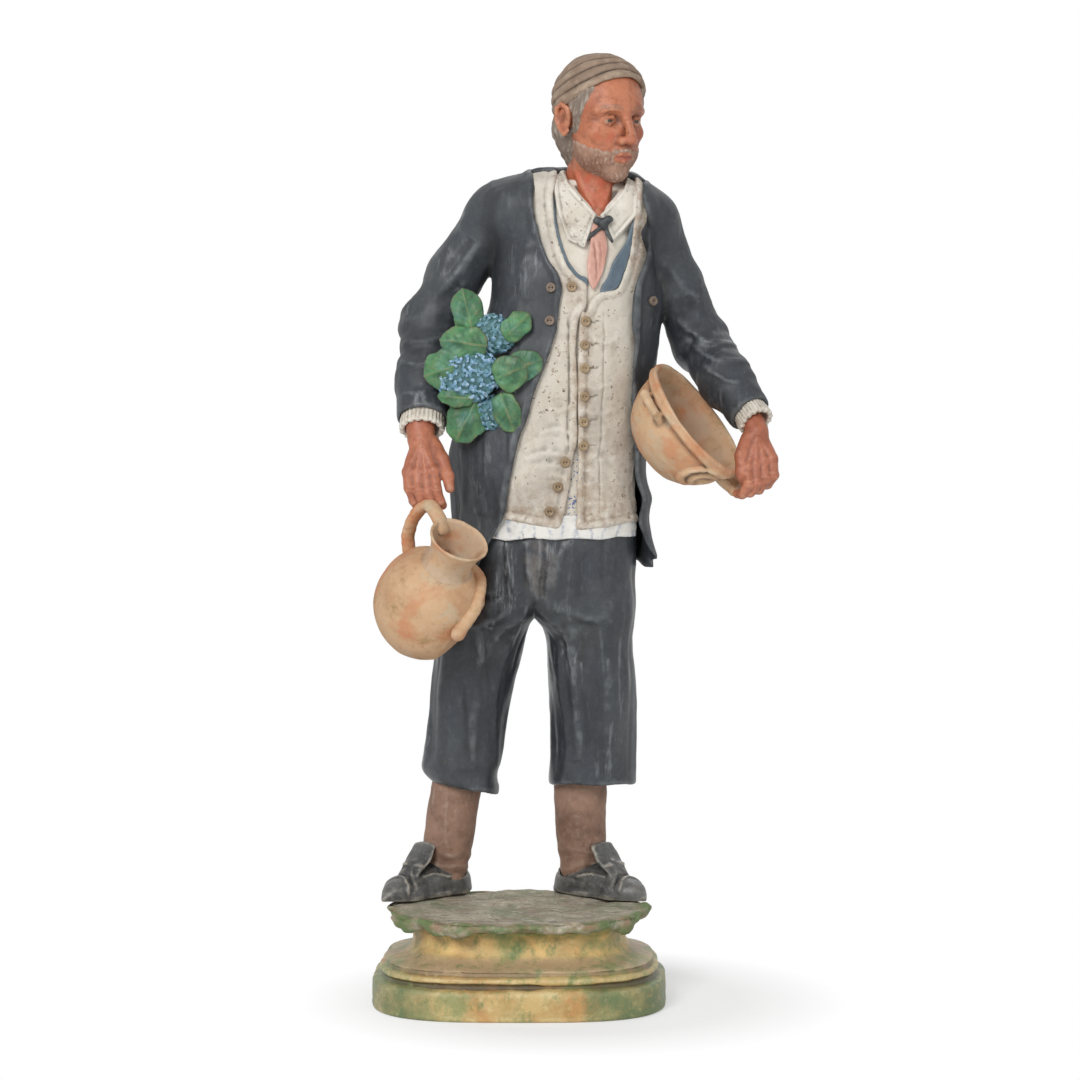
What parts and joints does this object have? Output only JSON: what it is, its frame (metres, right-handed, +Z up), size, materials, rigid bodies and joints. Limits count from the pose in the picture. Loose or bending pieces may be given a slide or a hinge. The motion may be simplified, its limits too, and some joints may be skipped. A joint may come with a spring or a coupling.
{
  "type": "terracotta figurine",
  "caption": "Painted terracotta figurine of a standing bearded pedlar in cap, waistcoat and long jacket, with pitcher, basin and posy, on a moulded plinth.",
  "frame": {"origin": "middle of the bounding box in plan, on the plane of the plinth's foot", "axes": "+Z up, the figure faces -Y, his left hand is towards +X"},
  "size_m": [0.172, 0.1036, 0.4004],
  "materials": {
    "plinth": "worn ochre, green and rust glaze",
    "ground": "rough matt paint",
    "shoe": "satin paint, worn on the edges",
    "stocking": "matt paint",
    "trousers": "satin paint, worn on the folds",
    "shirt": "matt paint with brown specks",
    "shirt_hem": "matt paint with blue stripes",
    "tie": "matt paint",
    "neck_bow": "satin paint",
    "undervest": "matt paint",
    "waistcoat": "matt paint with brown specks and stains",
    "button": "satin paint",
    "jacket": "satin paint, worn on the folds",
    "cuff": "matt paint over a knitted relief",
    "skin": "satin paint",
    "cap": "matt paint",
    "hair": "matt paint",
    "pottery": "matt, bare beige clay with dusty stains",
    "flower": "matt paint, light blue on dark blue-green",
    "leaf": "satin green paint"
  },
  "bodies": {
    "root": {"plinth": "plinth", "ground": "ground", "shoe_right": "shoe", "shoe_left": "shoe", "stocking_right": "stocking", "stocking_left": "stocking", "trouser_leg_right": "trousers", "trouser_leg_left": "trousers", "trouser_seat": "trousers", "shirt": "shirt", "shirt_hem": "shirt_hem", "shirt_collar": "shirt", "tie": "tie", "neck_bow": "neck_bow", "vest_lapel_right": "undervest", "vest_lapel_left": "undervest", "waistcoat_right": "waistcoat", "waistcoat_left": "waistcoat", "waistcoat_button_1": "button", "waistcoat_button_2": "button", "waistcoat_button_3": "button", "waistcoat_button_4": "button", "waistcoat_button_5": "button", "waistcoat_button_6": "button", "waistcoat_button_7": "button", "waistcoat_button_8": "button", "waistcoat_button_9": "button", "waistcoat_button_10": "button", "jacket_back": "jacket", "jacket_front_right": "jacket", "jacket_front_left": "jacket", "jacket_button_1": "button", "jacket_button_2": "button", "jacket_button_3": "button", "sleeve_right": "jacket", "sleeve_left": "jacket", "cuff_right": "cuff", "cuff_left": "cuff", "hand_right": "skin", "hand_left": "skin", "head": "skin", "cap": "cap", "hair": "hair", "beard": "hair", "jug": "pottery", "jug_handle": "pottery", "jug_side_strap": "pottery", "basin": "pottery", "basin_handle": "pottery", "flower_head_middle": "flower", "flower_head_upper": "flower", "flower_head_lower": "flower", "leaf_1": "leaf", "leaf_2": "leaf", "leaf_3": "leaf", "leaf_4": "leaf", "leaf_5": "leaf", "leaf_6": "leaf", "posy_stems": "leaf"}
  },
  "joints": []
}
